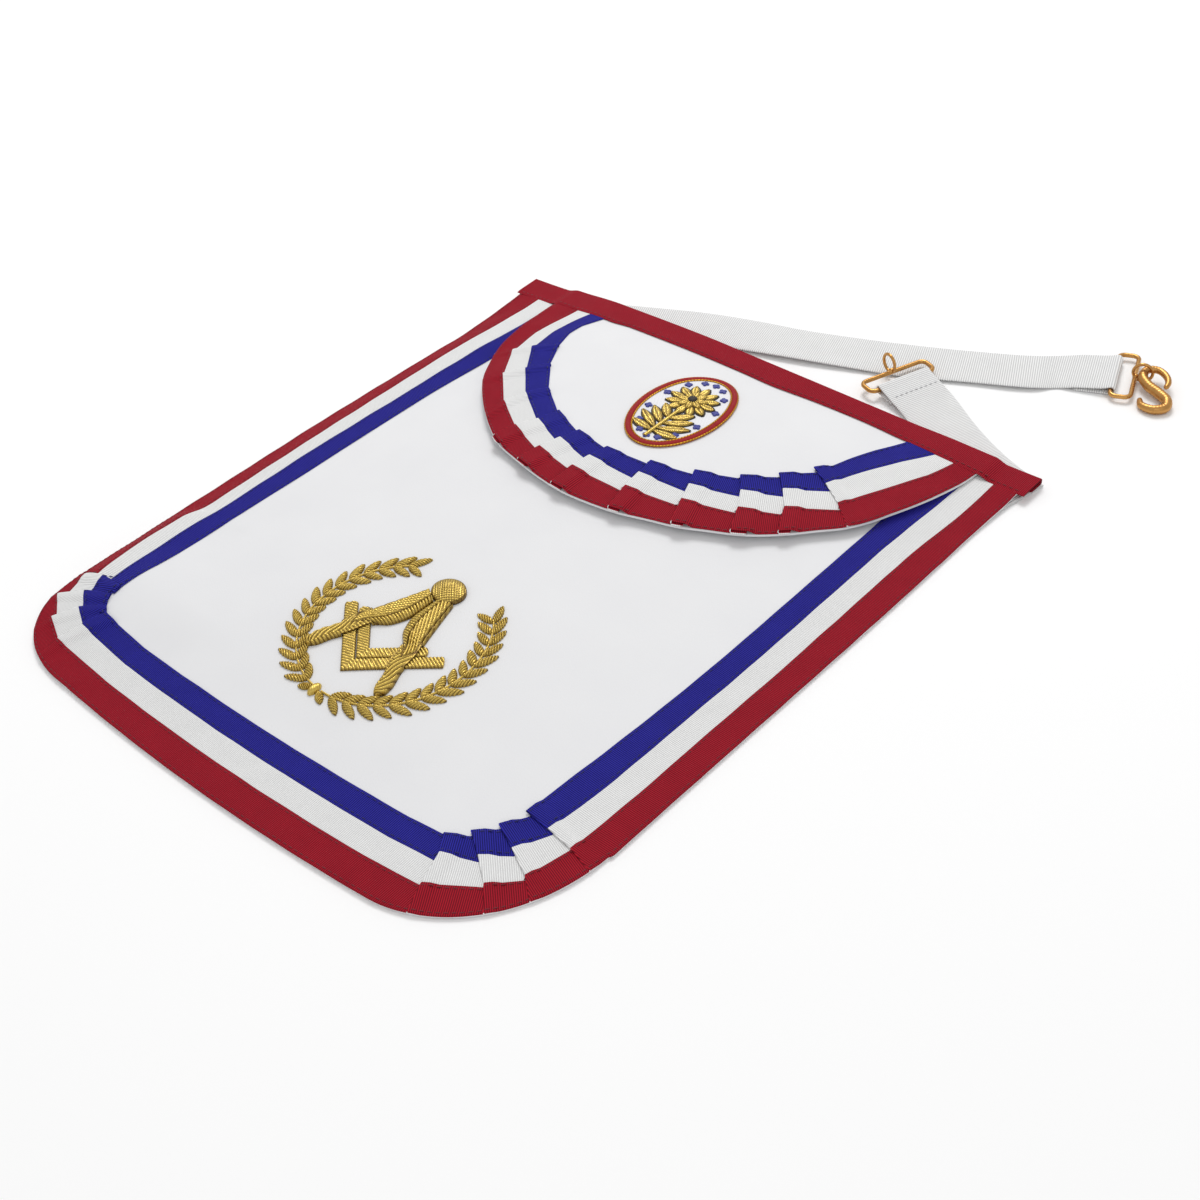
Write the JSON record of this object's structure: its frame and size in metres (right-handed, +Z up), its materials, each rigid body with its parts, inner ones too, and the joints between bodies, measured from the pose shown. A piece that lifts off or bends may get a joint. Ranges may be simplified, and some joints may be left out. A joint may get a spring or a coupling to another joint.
{
  "type": "ceremonial apron with ribbon-edged flap and strap hook, lying flat",
  "caption": "White ceremonial apron lying flat, with round flap, pleated red, white and blue ribbon edging, raised bullion emblem, oval badge, waist binding, and straps with an S hook.",
  "frame": {"origin": "under the middle of the apron and its laid-out straps, on the surface it lies on", "axes": "+X to the apron's right as seen from above, +Y towards the waist edge, +Z up from the surface"},
  "size_m": [0.3756, 0.5426, 0.0233],
  "materials": {
    "leather": "smooth white",
    "red_grosgrain": "ribbed ribbon",
    "white_grosgrain": "ribbed ribbon",
    "blue_grosgrain": "ribbed ribbon",
    "webbing": "ribbed webbing",
    "bullion": "metallic thread",
    "badge_satin": "satin stitch",
    "badge_cloth": "twill",
    "gilt": "gilt"
  },
  "bodies": {
    "root": {"body_panel": "leather", "flap_panel": "leather", "body_ribbon_red": "red_grosgrain", "flap_ribbon_red": "red_grosgrain", "top_binding": "red_grosgrain", "body_ribbon_white": "white_grosgrain", "flap_ribbon_white": "white_grosgrain", "body_ribbon_blue": "blue_grosgrain", "flap_ribbon_blue": "blue_grosgrain", "strap_long": "webbing", "strap_short": "webbing", "wreath_spray_left": "bullion", "wreath_spray_right": "bullion", "wreath_tie": "bullion", "emblem_square": "bullion", "emblem_compasses": "bullion", "badge_border": "badge_satin", "badge_field": "badge_cloth", "badge_motif": "bullion", "hook_slide": "gilt", "eye_slide": "gilt", "s_hook": "gilt"}
  },
  "joints": []
}
